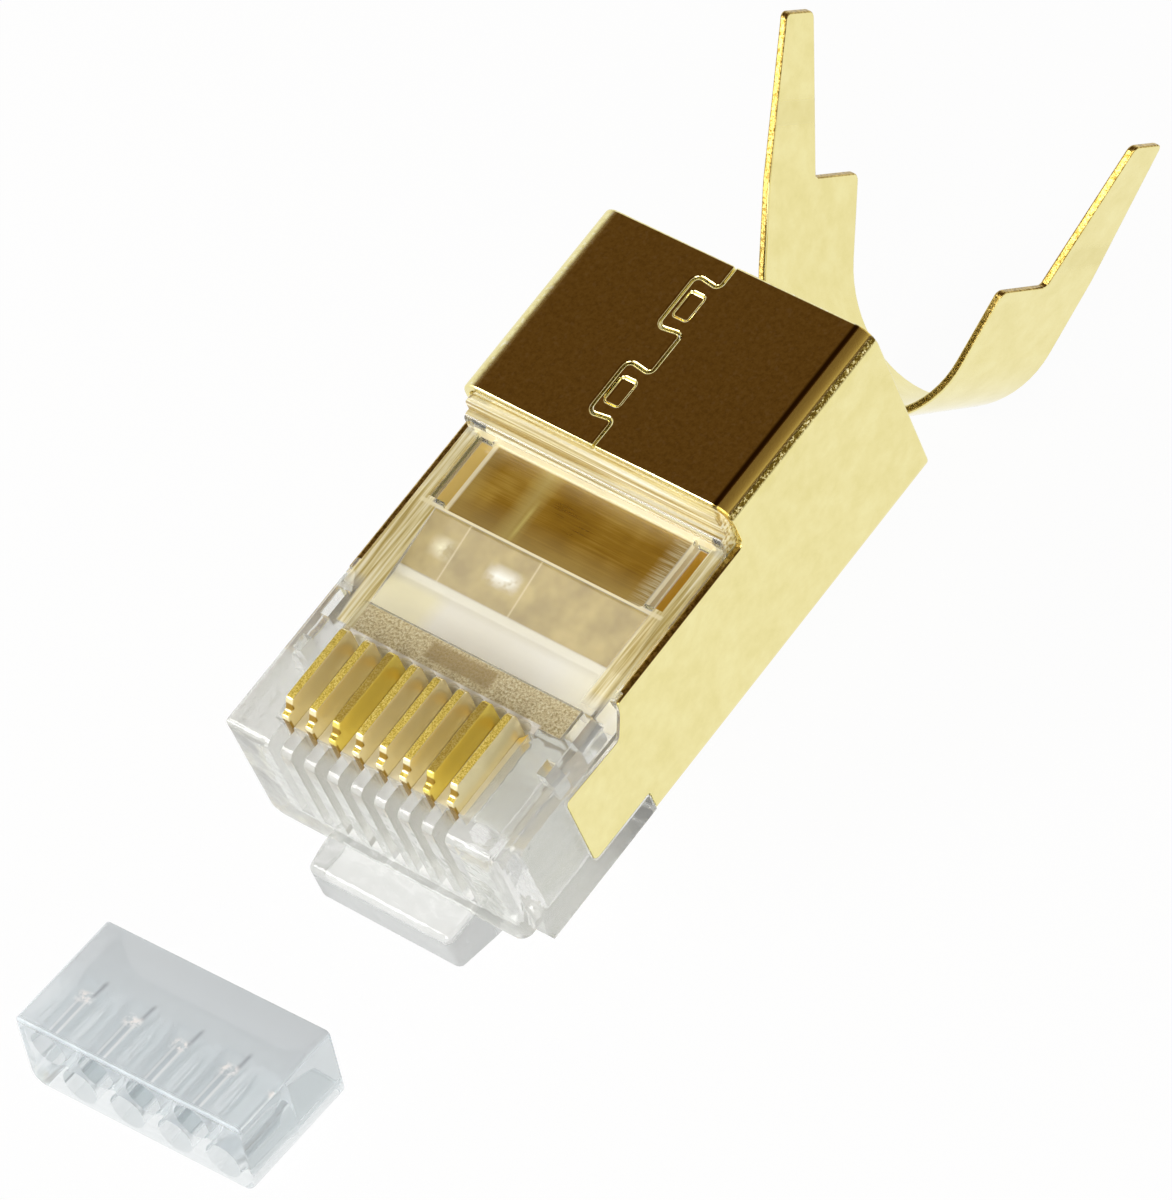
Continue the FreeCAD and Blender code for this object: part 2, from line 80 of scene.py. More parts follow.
def row_to_plug(points):
    """The inverse of plug_to_row."""
    p = points / MM + FOOTPRINT
    c, s = cos(REST_SLOPE), sin(REST_SLOPE)
    return np.stack([p[:, 0], p[:, 1] * c + p[:, 2] * s, p[:, 2] * c - p[:, 1] * s], 1) - PLUG_ORIGIN


# --- Node helpers ---------------------------------------------------------------
def add(tree, kind, values=None, **settings):
    """One shader node; values fill its sockets with a number, a colour or another node's output."""
    made = tree.nodes.new(kind)
    for key, value in settings.items():
        setattr(made, key, value)
    for key, value in (values or {}).items():
        if isinstance(value, bpy.types.NodeSocket):
            tree.links.new(value, made.inputs[key])
        else:
            made.inputs[key].default_value = value
    return made


def new_material(name):
    finish = bpy.data.materials.new(name)
    finish.use_nodes = True
    tree = finish.node_tree
    return finish, tree, tree.nodes["Principled BSDF"]


def noise(tree, coords, scale, detail=3.0, rough=0.5):
    values = {"Vector": coords, "Scale": scale, "Detail": detail, "Roughness": rough}
    return add(tree, "ShaderNodeTexNoise", values)


def remap(tree, value, low, high, to_low, to_high):
    made = add(tree, "ShaderNodeMapRange", {"Value": value, "From Min": low, "From Max": high,
                                            "To Min": to_low, "To Max": to_high})
    return made.outputs["Result"]


def ramp(tree, value, stops):
    made = add(tree, "ShaderNodeValToRGB", {"Fac": value})
    steps = made.color_ramp.elements
    while len(steps) < len(stops):
        steps.new(0.5)
    for step, (place, colour) in zip(steps, stops):
        step.position = place
        step.color = (*colour, 1.0)
    return made.outputs["Color"]


def bump(tree, height, strength, distance, normal=None):
    values = {"Height": height, "Strength": strength, "Distance": distance}
    if normal is not None:
        values["Normal"] = normal
    return add(tree, "ShaderNodeBump", values).outputs["Normal"]


# --- Finishes --------------------------------------------------------------------
def plug_place(tree, coords):
    """X, Y and Z of the plug's own frame, in millimetres, from row-frame coordinates."""
    c, s = cos(REST_SLOPE), sin(REST_SLOPE)
    x, y, z = FOOTPRINT
    back = (x - PLUG_ORIGIN[0], y * c + z * s - PLUG_ORIGIN[1], z * c - y * s - PLUG_ORIGIN[2])
    values = {"Vector": coords, "Location": back, "Rotation": (-REST_SLOPE, 0.0, 0.0), "Scale": PER_METRE}
    turned = add(tree, "ShaderNodeMapping", values, vector_type="POINT").outputs["Vector"]
    return turned, add(tree, "ShaderNodeSeparateXYZ", {"Vector": turned}).outputs


def compute(tree, operation, *values):
    return add(tree, "ShaderNodeMath", dict(enumerate(values)), operation=operation).outputs[0]


def multiply(tree, *values):
    product = values[0]
    for value in values[1:]:
        product = compute(tree, "MULTIPLY", product, value)
    return product


def band(tree, value, low, high, soft=0.04):
    """1 between low and high, 0 outside, with soft edges."""
    rise = remap(tree, value, low - soft, low + soft, 0.0, 1.0)
    fall = remap(tree, value, high - soft, high + soft, 1.0, 0.0)
    return multiply(tree, rise, fall)


def zone(tree, axes, **limits):
    """1 inside a box, 0 outside: each limit along a named axis is its low and high end and, where its ends
    aren't as soft as a band's usual ones, their softness."""
    return multiply(tree, *(band(tree, axes[axis], *limit) for axis, limit in limits.items()))


def stretched_noise(tree, place, scale, detail, rough):
    """Noise drawn out into lines along the axes that have a small scale."""
    drawn = add(tree, "ShaderNodeMapping", {"Vector": place, "Scale": scale}).outputs["Vector"]
    return noise(tree, drawn, 1.0, detail, rough).outputs["Fac"]


def blend_numbers(tree, share, one, other):
    made = add(tree, "ShaderNodeMix", {0: share, 2: one, 3: other}, data_type="FLOAT")
    return made.outputs[0]


def blend_colours(tree, share, one, other):
    made = add(tree, "ShaderNodeMix", {0: share}, data_type="RGBA")
    for key, value in ((6, one), (7, other)):
        if isinstance(value, bpy.types.NodeSocket):
            tree.links.new(value, made.inputs[key])
        else:
            made.inputs[key].default_value = (*value, 1.0)
    return made.outputs[2]


def paint(tree, base, layers, blend):
    """Blends layers over the base, first to last; each is its share and its colour or number."""
    for share, layer in layers:
        base = blend(tree, share, base, layer)
    return base


def let_lamps_through(tree, shader, tint):
    """Rays from lamps pass a clear moulding, tinted a little, so what is inside it is lit."""
    path = add(tree, "ShaderNodeLightPath").outputs["Is Shadow Ray"]
    clear = add(tree, "ShaderNodeBsdfTransparent", {"Color": (*tint, 1.0)}).outputs[0]
    both = add(tree, "ShaderNodeMixShader", {0: path, 1: shader.outputs[0], 2: clear}).outputs[0]
    tree.links.new(both, tree.nodes["Material Output"].inputs["Surface"])


def clear_moulding(name, tint, roughness, haze):
    """Clear polycarbonate with a faint haze, flow lines and fine grain."""
    finish, tree, shader = new_material(name)
    coords = add(tree, "ShaderNodeTexCoord").outputs["Object"]
    flow = noise(tree, coords, 260.0, 2.0).outputs["Fac"]
    grain = noise(tree, coords, 5200.0, 2.0).outputs["Fac"]
    shader.inputs["IOR"].default_value = 1.58
    colour = blend_colours(tree, flow, tint, tuple(0.97 * c for c in tint))
    clear = remap(tree, flow, 0.3, 0.7, 1.0 - haze * 0.7, 1.0 - haze * 1.3)
    rough = remap(tree, grain, 0.3, 0.7, roughness * 0.6, roughness * 1.4)
    skin = bump(tree, flow, 0.25, 0.00005)
    values = {"Base Color": colour, "Transmission Weight": clear, "Roughness": rough, "Normal": skin}
    return finish, tree, shader, values


def finish_sockets(tree, shader, values):
    for key, value in values.items():
        tree.links.new(value, shader.inputs[key])


def housing_zones(tree, axes, grain):
    """Shares of the housing's zones, from the nose to the ledge under the shield's roof."""
    x, y, z = (axes[axis] for axis in "xyz")
    top = (5.95, 6.3)             # holds the nose's top face and nothing below it
    chamber_roof = (4.2, 5.6)     # holds the roof over the load bar's chamber and the throat
    seat = (10.25, 13.15)         # from end to end of the crimp bar's seat

    def here(**limits):
        return zone(tree, axes, **limits)

    # The ribs between the slots carry a beige-gold painted reflection of the blades' gold sides.
    ribs = here(y=(1.0, 4.5), x=(-3.8, 3.95), z=(4.6, 6.3))
    throat = here(y=(8.1, 10.3), x=(-4.8, 4.8), z=chamber_roof)
    shine = remap(tree, grain["shine"], 0.36, 0.56, 0.15, 1.0)
    # Painted highlights: two soft bright spots on the throat's roof, broken up by noise.
    throat_highlights = multiply(tree, throat, here(y=(8.95, 9.4, 0.22)), shine)
    recess = here(y=seat, x=(-4.3, 4.18), z=(5.7, 5.95))
    teeth = remap(tree, grain["brushed"], 0.45, 0.6, 0.0, 1.0)
    # Painted highlights: bright cream lines along the front and rear edges of the crimp bar's seat.
    rim_highlights = compute(tree, "ADD", here(y=(10.1, 10.26, 0.03)), here(y=(13.12, 13.36, 0.03)))
    leaning = {"y": y, "z": z, "x": compute(tree, "MULTIPLY_ADD", y, 0.085, x)}
    wedge = zone(tree, leaning, x=(-4.35, -3.63, 0.04), y=(5.0, 10.15), z=top)
    return {
        "nose": remap(tree, y, 4.6, 5.2, 1.0, 0.0),
        "groove_walls": here(y=(0.06, 1.3, 0.03), z=(1.9, 6.05), x=(-3.95, 3.95)),
        "root": multiply(tree, remap(tree, y, 0.5, 1.0, 1.0, 0.0), remap(tree, z, 0.6, 0.9, 1.0, 0.0)),
        "stipple": here(y=(4.85, 6.05), x=(-4.35, 5.0), z=top),
        "smooth": here(y=(5.25, 5.9, 0.06), x=(-1.2, 1.6, 0.08)),
        "ribs": ribs,
        # Painted gold glints at the rounded rear ends of the slots.
        "arch_glints": multiply(tree, ribs, here(y=(4.1, 4.6, 0.1))),
        # Painted highlights: white glints in the scallops behind the blades.
        "scoop_glints": here(y=(4.58, 4.98, 0.02), x=(-4.1, 4.1), z=(5.3, 6.2)),
        # Painted reflection: a white strip on the chamber's roof, standing in for the bright surroundings
        # seen in it.
        "white_reflection_strip": here(y=(6.4, 8.1), x=(-4.8, 4.8), z=chamber_roof),
        "throat": throat,
        "left_highlight": multiply(tree, throat_highlights, here(x=(-4.0, -3.4, 0.3))),
        "right_highlight": multiply(tree, throat_highlights, here(x=(-1.6, -0.5, 0.25))),
        "ridges": compute(tree, "ADD", here(x=(-3.22, -3.16, 0.03)), here(x=(-0.14, -0.08, 0.03))),
        "recess": recess,
        "border": remap(tree, here(y=(10.9, 12.9, 0.5), x=(-3.9, 3.9, 0.4)), 0.0, 1.0, 1.0, 0.0),
        # Painted highlights on the recess: a lighter streak and a narrow glint.
        "streak": multiply(tree, recess, here(x=(-2.1, -1.5, 0.3))),
        "glint": multiply(tree, recess, here(x=(-1.62, -1.5, 0.06), y=(10.4, 11.8, 0.3))),
        "comb": multiply(tree, recess, here(x=(3.7, 4.4, 0.25)), teeth),
        "rear": here(y=(6.6, 30.0, 0.3)),
        "ledge": here(y=(13.3, 14.1), z=(5.9, 8.0)),
        "rim_highlights": multiply(tree, rim_highlights, here(z=(5.8, 6.35), x=(-5.2, 5.2))),
        "frame_strip": here(aside=(4.18, 4.38), y=seat, z=(5.5, 6.0)),
        "pocket": here(aside=(4.4, 5.05), y=(10.45, 13.15), z=(5.4, 5.75)),
        "flanks": compute(tree, "MAXIMUM", here(aside=(4.72, 5.56), y=(6.5, 13.3, 0.4), z=top), wedge),
    }


def housing_plastic():
    """Clear moulding: milky in the nose, stippled behind the contacts and frosted in the throat, with painted
    highlights and reflections; where the crimp bar sits it is brushed and painted with the gold seen through
    it."""
    finish, tree, shader, sockets = clear_moulding("housing_plastic", (0.915, 0.925, 0.905), 0.06, 0.10)
    coords = add(tree, "ShaderNodeTexCoord").outputs["Object"]
    place, (x, y, z) = plug_place(tree, coords)
    grain = {
        "cloud": noise(tree, place, 0.45, 2.0).outputs["Fac"],
        "ripple": noise(tree, place, 0.9, 2.0, 0.6).outputs["Fac"],
        "shine": noise(tree, place, 2.1, 2.0, 0.6).outputs["Fac"],
        "pits": noise(tree, place, 11.0, 3.0, 0.8).outputs["Fac"],
        "brushed": stretched_noise(tree, place, (0.4, 16.0, 1.0), 4.0, 0.7),
        "rolled": stretched_noise(tree, place, (0.12, 7.0, 7.0), 1.0, 0.5),
        "drawn": stretched_noise(tree, place, (7.0, 0.25, 1.0), 3.0, 0.6),
    }
    on = housing_zones(tree, {"x": x, "y": y, "z": z, "aside": compute(tree, "ABSOLUTE", x)}, grain)

    def part_of(name, share):
        return multiply(tree, on[name], share)

    # Painted reflection on the chamber's roof: cream at its ends, white in the middle and darker towards the
    # throat.
    cream_reflection = ramp(tree, compute(tree, "DIVIDE", x, 10.0),
                 [(0.0, (0.97, 0.95, 0.88)), (0.25, (0.99, 0.98, 0.93)), (0.44, (0.99, 0.96, 0.80))])
    cream_reflection = blend_colours(tree, remap(tree, x, -2.9, -2.2, 0.0, 1.0), (0.95, 0.90, 0.66), cream_reflection)
    cream_reflection = blend_colours(tree, remap(tree, y, 7.5, 7.9, 0.0, 1.0), cream_reflection, (0.80, 0.77, 0.66))
    beige = ramp(tree, grain["ripple"], [(0.3, (0.34, 0.25, 0.08)), (0.7, (0.54, 0.42, 0.16))])
    beige = blend_colours(tree, part_of("ridges", 0.5), beige, (0.90, 0.80, 0.52))
    # Painted reflections on the ledge: streaks of cream highlight and gold running along X.
    ledge_reflections = ramp(tree, grain["rolled"],
                 [(0.38, (0.48, 0.34, 0.10)), (0.5, (0.92, 0.82, 0.46)), (0.6, (1.0, 0.97, 0.76))])
    # Painted reflection: streaks of the shield's gold side plates seen through the flanks, with bright
    # glints.
    side_plate_reflection = ramp(tree, grain["drawn"],
                 [(0.35, (0.50, 0.39, 0.13)), (0.5, (0.80, 0.70, 0.37)), (0.62, (1.0, 0.95, 0.68))])
    trough = blend_colours(tree, remap(tree, x, -0.1, 0.1, 1.0, 0.0), (0.42, 0.22, 0.02), (0.64, 0.46, 0.14))
    # Painted gold tone, standing in for the lit gold plate seen through the plastic of the crimp bar's seat.
    seen_gold = ramp(tree, blend_numbers(tree, 0.35, grain["cloud"], grain["brushed"]),
                 [(0.38, (0.28, 0.13, 0.008)), (0.5, (0.42, 0.22, 0.018)), (0.62, (0.60, 0.37, 0.06))])
    seen_gold = paint(tree, seen_gold, (
        (part_of("border", 0.6), (0.62, 0.46, 0.16)),
        (part_of("streak", 0.65), (0.76, 0.60, 0.20)),
        (part_of("glint", 0.8), (0.95, 0.80, 0.25)),
        (part_of("comb", 0.8), (0.90, 0.80, 0.50)),
    ), blend_colours)
    salt = ramp(tree, grain["pits"],
                [(0.38, (0.42, 0.31, 0.11)), (0.5, (0.74, 0.62, 0.33)), (0.62, (0.96, 0.90, 0.66))])
    salt = blend_colours(tree, part_of("smooth", 0.8), salt, (0.42, 0.29, 0.10))
    milky = blend_colours(tree, grain["ripple"], (0.72, 0.73, 0.70), (0.84, 0.85, 0.83))
    milky = blend_colours(tree, on["root"], milky, (0.45, 0.465, 0.46))
    milky = blend_colours(tree, on["groove_walls"], milky, (0.82, 0.82, 0.79))

    # Painted light in this table: reflections on the chamber's roof strip, the ribs, the flanks and the
    # ledge, glints at the slots' ends and in the scallops, two highlights in the throat, and painted gold in
    # the recess.
    colours = (
        ("nose", milky), ("white_reflection_strip", cream_reflection), ("throat", beige), ("left_highlight", (1.0, 0.96, 0.72)),
        ("right_highlight", (1.0, 1.0, 0.95)), ("stipple", salt), ("ribs", (0.84, 0.76, 0.52)),
        ("arch_glints", (0.84, 0.60, 0.14)), ("scoop_glints", (0.98, 0.97, 0.90)), ("flanks", side_plate_reflection), ("ledge", ledge_reflections),
        ("pocket", trough), ("recess", seen_gold), ("frame_strip", (0.92, 0.84, 0.58)),
    )
    clearness = (
        ("nose", 0.74), ("rear", 0.97), ("flanks", 0.22), ("ribs", 0.35), ("arch_glints", 0.1), ("pocket", 0.2),
        ("root", 0.58), ("white_reflection_strip", 0.05), ("throat", 0.15), ("stipple", 0.4), ("scoop_glints", 0.08),
        ("recess", 0.5), ("ledge", 0.35), ("frame_strip", 0.3), ("rim_highlights", 0.2),
    )
    roughness = (
        ("nose", 0.07), ("root", 0.28), ("groove_walls", 0.24), ("stipple", 0.5), ("white_reflection_strip", 0.5),
        ("throat", 0.35), ("recess", 0.12), ("ledge", 0.2),
    )
    painted = {
        "Base Color": (colours, blend_colours),
        "Transmission Weight": (clearness, blend_numbers),
        "Roughness": (roughness, blend_numbers),
    }
    for socket, (layers, blend) in painted.items():
        shares = ((on[name], layer) for name, layer in layers)
        sockets[socket] = paint(tree, sockets[socket], shares, blend)
    # Painted highlight lines along the seat's rims.
    rim_highlights = part_of("rim_highlights", 0.8)
    sockets["Base Color"] = blend_colours(tree, rim_highlights, sockets["Base Color"], (0.98, 0.90, 0.58))
    reliefs = (
        ("nose", "ripple", 0.5, 0.00014),
        ("stipple", "pits", 0.9, 0.00005),
        ("recess", "brushed", 0.6, 0.000015),
    )
    for name, relief, strength, distance in reliefs:
        height = multiply(tree, grain[relief], on[name])
        sockets["Normal"] = bump(tree, height, strength, distance, sockets["Normal"])
    finish_sockets(tree, shader, sockets)
    let_lamps_through(tree, shader, (0.95, 0.95, 0.94))
    return finish


def bar_spot():
    """Row X and Y of the middle of the load bar's lower front edge, in millimetres."""
    low, top = (np.array(corner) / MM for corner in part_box("load_bar"))
    x, y = ((low + top) / 2)[:2]
    return x + sin(BAR_TURN) * BAR_LONG / 2, y - cos(BAR_TURN) * BAR_LONG / 2


def bar_place(tree, coords):
    """X, Y and Z of the load bar's own block, in millimetres from the middle of its lower front edge."""
    middle, along = bar_spot()
    c, s = cos(BAR_TURN), sin(BAR_TURN)
    back = (-middle * c - along * s, middle * s - along * c, 0.0)
    values = {"Vector": coords, "Location": back, "Rotation": (0.0, 0.0, -BAR_TURN), "Scale": PER_METRE}
    turned = add(tree, "ShaderNodeMapping", values, vector_type="POINT").outputs["Vector"]
    return turned, add(tree, "ShaderNodeSeparateXYZ", {"Vector": turned}).outputs


def bar_plastic():
    """Cooler clear moulding: milky over the mouth, with painted light over the wire holes: pairs of bright
    lines of painted highlight that end in a dark crescent of painted shade over each funnel, and white
    glints."""
    finish, tree, shader, sockets = clear_moulding("bar_plastic", (0.69, 0.73, 0.745), 0.05, 0.2)
    coords = add(tree, "ShaderNodeTexCoord").outputs["Object"]
    place, (x, y, z) = bar_place(tree, coords)
    shifted = compute(tree, "ADD", x, BAR_PITCH * 2 + BAR_HIGHLIGHT_LINES)
    pitch = compute(tree, "FLOORED_MODULO", shifted, BAR_PITCH)
    lean = compute(tree, "MULTIPLY_ADD", y, -0.05, pitch)
    axes = {"y": y, "z": z, "pitch": pitch, "lean": lean}
    top = zone(tree, axes, z=(3.12, 3.4))

    def on_top(**limits):
        return multiply(tree, top, zone(tree, axes, **limits))

    over_mouth = multiply(tree, top, remap(tree, y, 1.6, 3.4, 0.0, 1.0))
    # Painted highlights over each upper hole: two bright lines with a darker band of painted shade between
    # them, a dark crescent of painted shade over its funnel, and white glints.
    ends = compute(tree, "ADD", band(tree, pitch, 0.86, 0.89, 0.05), band(tree, pitch, 1.14, 1.19, 0.05))
    lines = multiply(tree, ends, on_top(y=(0.1, 1.75, 0.08)))
    between = on_top(pitch=(0.93, 1.1, 0.03), y=(0.1, 1.75, 0.08))
    funnel = on_top(lean=(1.08, 1.2, 0.07), y=(1.9, 2.65, 0.1))
    glints = remap(tree, noise(tree, place, 3.2, 2.0, 0.6).outputs["Fac"], 0.45, 0.6, 0.0, 1.0)
    glints = multiply(tree, glints, on_top(pitch=(0.72, 1.3, 0.1), y=(1.6, 2.0, 0.1)))
    low = multiply(tree, remap(tree, z, 0.4, 2.9, 1.0, 0.0), 0.4)
    brim = zone(tree, axes, z=(3.04, 3.4), y=(-0.2, 0.1, 0.02))
    sockets["Base Color"] = paint(tree, sockets["Base Color"], (
        (top, blend_colours(tree, over_mouth, (0.76, 0.83, 0.87), (0.72, 0.79, 0.84))),
        (multiply(tree, between, 0.6), (0.56, 0.61, 0.66)),
        (multiply(tree, funnel, 0.8), (0.30, 0.33, 0.37)),
        (multiply(tree, lines, 0.8), (1.0, 1.0, 1.0)),
        (glints, (1.0, 1.0, 1.0)),
        (low, (0.66, 0.71, 0.71)),
    ), blend_colours)
    sockets["Transmission Weight"] = paint(tree, sockets["Transmission Weight"], (
        (top, blend_numbers(tree, over_mouth, 0.5, 0.25)), (lines, 0.1), (funnel, 0.2), (glints, 0.1),
    ), blend_numbers)
    sockets["Roughness"] = blend_numbers(tree, brim, sockets["Roughness"], 0.4)
    finish_sockets(tree, shader, sockets)
    let_lamps_through(tree, shader, (0.93, 0.94, 0.95))
    return finish


def shield_plate():
    """Bright gold plating: dull inside, orange-peel on the roof, a pressed crease darkened by painted shade
    and a torn fold along its right side, and torn grain on the sheared edges."""
    finish, tree, shader = new_material("shield_plate")
    coords = add(tree, "ShaderNodeTexCoord").outputs["Object"]
    place, (x, _, z) = plug_place(tree, coords)
    axes = {"x": x, "z": z, "aside": compute(tree, "ABSOLUTE", x)}
    high = (6.9, 8.5, 0.05)       # holds the roof and its folds
    roof = zone(tree, axes, z=(7.68, 8.5, 0.03))
    # Painted shade: a dark line along the pressed crease.
    crease = zone(tree, axes, x=(5.05, 5.25, 0.05), z=high)
    flat = zone(tree, axes, x=(5.25, 5.66, 0.03), z=high)
    fold = zone(tree, axes, x=(5.66, 5.95, 0.03), z=(7.3, 8.5, 0.04))
    soft_fold = zone(tree, axes, x=(-5.8, -5.1, 0.15), z=high)
    side_wall = multiply(tree, zone(tree, axes, aside=(5.4, 5.65)), remap(tree, z, 6.9, 7.0, 1.0, 0.0))
    inside = compute(tree, "MAXIMUM", side_wall, zone(tree, axes, z=(7.3, 7.6)))
    sheared = add(tree, "ShaderNodeAttribute", attribute_name="sheared").outputs["Fac"]

    cloud = noise(tree, place, 0.18, 3.0).outputs["Fac"]
    mottle = noise(tree, place, 1.1, 4.0, 0.6).outputs["Fac"]
    peel = noise(tree, place, 5.0, 3.0, 0.75).outputs["Fac"]
    freckle = noise(tree, place, 6.0, 1.0, 0.5).outputs["Fac"]
    speck = noise(tree, place, 6.5, 2.0, 0.7).outputs["Fac"]
    grain = noise(tree, place, 9.0, 2.0, 0.8).outputs["Fac"]
    plated = ramp(tree, mottle,
                  [(0.3, (0.82, 0.73, 0.32)), (0.5, (0.86, 0.77, 0.36)), (0.7, (0.89, 0.81, 0.40))])
    peeled = ramp(tree, peel,
                  [(0.34, (0.67, 0.58, 0.25)), (0.5, (0.85, 0.76, 0.35)), (0.66, (0.96, 0.91, 0.52))])
    sparkle = ramp(tree, grain,
                   [(0.48, (0.13, 0.08, 0.009)), (0.57, (0.42, 0.31, 0.06)), (0.65, (1.0, 0.90, 0.50))])
    torn = ramp(tree, grain, [(0.35, (0.24, 0.15, 0.02)), (0.65, (0.72, 0.53, 0.16))])
    tone = paint(tree, plated, (
        (multiply(tree, roof, 0.8), peeled),
        (multiply(tree, remap(tree, freckle, 0.58, 0.74, 0.0, 0.5), roof), (1.0, 1.0, 0.9)),
        (crease, (0.17, 0.11, 0.02)), (flat, (0.87, 0.65, 0.15)), (fold, sparkle), (sheared, torn),
    ), blend_colours)
    rough = paint(tree, remap(tree, speck, 0.35, 0.75, 0.05, 0.12), (
        (inside, 0.35), (flat, 0.42), (fold, 0.3), (soft_fold, 0.3), (sheared, 0.28),
    ), blend_numbers)
    skin = bump(tree, cloud, 0.15, 0.00004)
    skin = bump(tree, speck, 0.25, 0.000005, skin)
    skin = bump(tree, multiply(tree, grain, fold), 0.8, 0.00005, skin)
    skin = bump(tree, multiply(tree, grain, sheared), 0.6, 0.00003, skin)
    shader.inputs["Metallic"].default_value = 1.0
    finish_sockets(tree, shader, {"Base Color": tone, "Roughness": rough, "Normal": skin})
    return finish


def contact_plate():
    """Gold plating on the stamped blades: flat sides, grainy sheared tops and smooth rounded fronts, shaded
    in the step below the crown. Every fourth blade is a deeper gold."""
    finish, tree, shader = new_material("contact_plate")
    coords = add(tree, "ShaderNodeTexCoord").outputs["Object"]
    place, (x, y, z) = plug_place(tree, coords)
    axes = {"y": y, "z": z}
    cloud = noise(tree, place, 0.5, 3.0).outputs["Fac"]
    grain = noise(tree, place, 17.0, 3.0, 0.8).outputs["Fac"]
    sheared = add(tree, "ShaderNodeAttribute", attribute_name="sheared").outputs["Fac"]
    four = 4 * CONTACT_PITCH
    within_four = compute(tree, "FLOORED_MODULO", compute(tree, "ADD", x, four), four)
    deep = band(tree, within_four, 2 * CONTACT_PITCH, 3 * CONTACT_PITCH)
    # Painted shade: a dark band on the front below the crown, and on the front below the step.
    riser = zone(tree, axes, y=(0.5, 1.345, 0.02), z=(6.73, 6.95, 0.03))
    below = multiply(tree, zone(tree, axes, y=(0.5, 1.02, 0.02)), remap(tree, z, 6.44, 6.52, 1.0, 0.0))
    torn = ramp(tree, grain,
                [(0.38, (0.48, 0.32, 0.02)), (0.5, (0.78, 0.59, 0.08)), (0.64, (0.98, 0.84, 0.30))])
    torn = blend_colours(tree, multiply(tree, deep, 0.55), torn, (0.22, 0.12, 0.01))
    tone = paint(tree, ramp(tree, cloud, [(0.3, (0.88, 0.77, 0.42)), (0.7, (0.95, 0.86, 0.55))]), (
        (deep, (0.92, 0.76, 0.16)),
        (sheared, torn),
        (compute(tree, "MAXIMUM", riser, below), (0.36, 0.21, 0.02)),
    ), blend_colours)
    rough = blend_numbers(tree, sheared, remap(tree, grain, 0.3, 0.7, 0.14, 0.22), 0.34)
    skin = bump(tree, grain, 0.15, 0.00001)
    skin = bump(tree, multiply(tree, grain, sheared), 0.8, 0.00005, skin)
    shader.inputs["Metallic"].default_value = 0.6
    finish_sockets(tree, shader, {"Base Color": tone, "Roughness": rough, "Normal": skin})
    return finish


# --- Pieces ----------------------------------------------------------------------
def plug_faces(mesh):
    """Centres in plug-frame millimetres and normals turned into the plug frame, one row for each face."""
    centres, normals = np.empty(3 * len(mesh.polygons)), np.empty(3 * len(mesh.polygons))
    mesh.polygons.foreach_get("center", centres)
    mesh.polygons.foreach_get("normal", normals)
    far = row_to_plug((centres + normals * MM).reshape(-1, 3))
    near = row_to_plug(centres.reshape(-1, 3))
    return near, far - near


def mark_sheared(mesh, test):
    """Face attribute: 1 on the cut edges of a stamped sheet, 0 on its rolled faces."""
    centres, normals = plug_faces(mesh)
    values = test(centres, normals).astype(np.float32)
    mesh.attributes.new("sheared", "FLOAT", "FACE").data.foreach_set("value", values)


def blade_edges(centres, normals):
    """Only a blade's top keeps the grain of the cut: it looks up, in the plug's frame."""
    return normals[:, 2] > 0.9


def shield_edges(centres, normals):
    """Torn edges: those that look up on the side plates, and all round the clamp, along its trough or, high
    above the saddle, along its arms."""
    x, y, z = centres.T
    c, s = cos(CLAMP_DROP), sin(CLAMP_DROP)
    along = normals[:, 1] * c - normals[:, 2] * s
    rise = normals[:, 1] * s + normals[:, 2] * c
    height = (y - CLAMP_CORNER) * s + z * c
    clamp = (y > CLAMP_CORNER + 0.8) | (z < -0.05)
    wrap = (z < 6.3) & (normals[:, 2] > 0.7) & (np.abs(x) > 5.5)
    return np.where(clamp, (np.abs(along) > 0.6) | ((height > 4.5) & (np.abs(rise) > 0.6)), wrap)


def finish_piece(mesh, name, body, node, finish):
    """Shades a mesh smooth between its sharp edges, gives it its finish and puts it in its node's place."""
    mesh.name = name
    mesh.shade_smooth()
    mesh.set_sharp_from_angle(angle=radians(26))
    mesh.materials.clear()
    mesh.materials.append(finish)
    piece = bpy.data.objects.new(name, mesh)
    bpy.context.scene.collection.objects.link(piece)
    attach(piece, body)
    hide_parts(node)
    return piece


def housing_corners(x, y, z):
    """True at the ends of the edges that frame the sides of the latch's root and at the upright front corners
    of the wide rear part."""
    near = 0.02
    root = (np.abs(np.abs(x) - LATCH_HALF) < near) & (y < -0.96)
    cheek = (np.abs(y - CHEEK_FRONT) < near) & (np.abs(x) > 5.83) & (z < 1.6)
    return root | cheek


def round_corners(joined, test, radius):
    """Rounds the sharp outward edges both of whose ends pass the test."""
    ends = row_to_plug(np.array([[tuple(v.co) for v in edge.verts] for edge in joined.edges]).reshape(-1, 3))
    picked = test(*ends.T).reshape(-1, 2).all(1)
    sharp = [edge for edge, wanted in zip(joined.edges, picked)
             if wanted and edge.is_convex and edge.calc_face_angle(0.0) > 0.8]
    bmesh.ops.bevel(joined, geom=sharp, offset=radius * MM, offset_type="OFFSET", segments=4, profile=0.5,
                    affect="EDGES", clamp_overlap=False)


